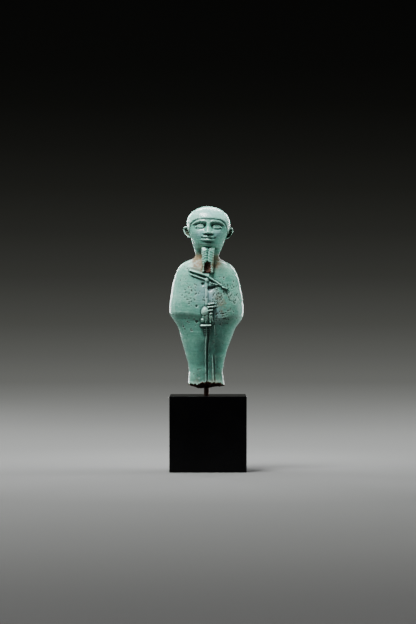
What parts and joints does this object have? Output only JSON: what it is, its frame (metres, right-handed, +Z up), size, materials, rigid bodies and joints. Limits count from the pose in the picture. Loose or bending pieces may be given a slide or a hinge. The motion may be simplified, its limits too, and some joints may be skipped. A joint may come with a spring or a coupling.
{
  "type": "ptah figure",
  "caption": "Glazed faience figure of a cloaked Egyptian god with a skull cap and straight beard, broken at the ankles and held by a pin on a black block.",
  "frame": {"origin": "middle of the block's underside", "axes": "+Z up, the figure faces -Y, its own left side is +X"},
  "size_m": [0.03, 0.03, 0.1037],
  "materials": {
    "faience": "pale blue-green glaze with fine pits, worn edges and a dark brown body where it is broken",
    "brown_metal": "brown patina",
    "black_wood": "satin black paint"
  },
  "bodies": {
    "root": {"ptah_figure": "faience", "mount_pin": "brown_metal", "black_block": "black_wood"}
  },
  "joints": []
}
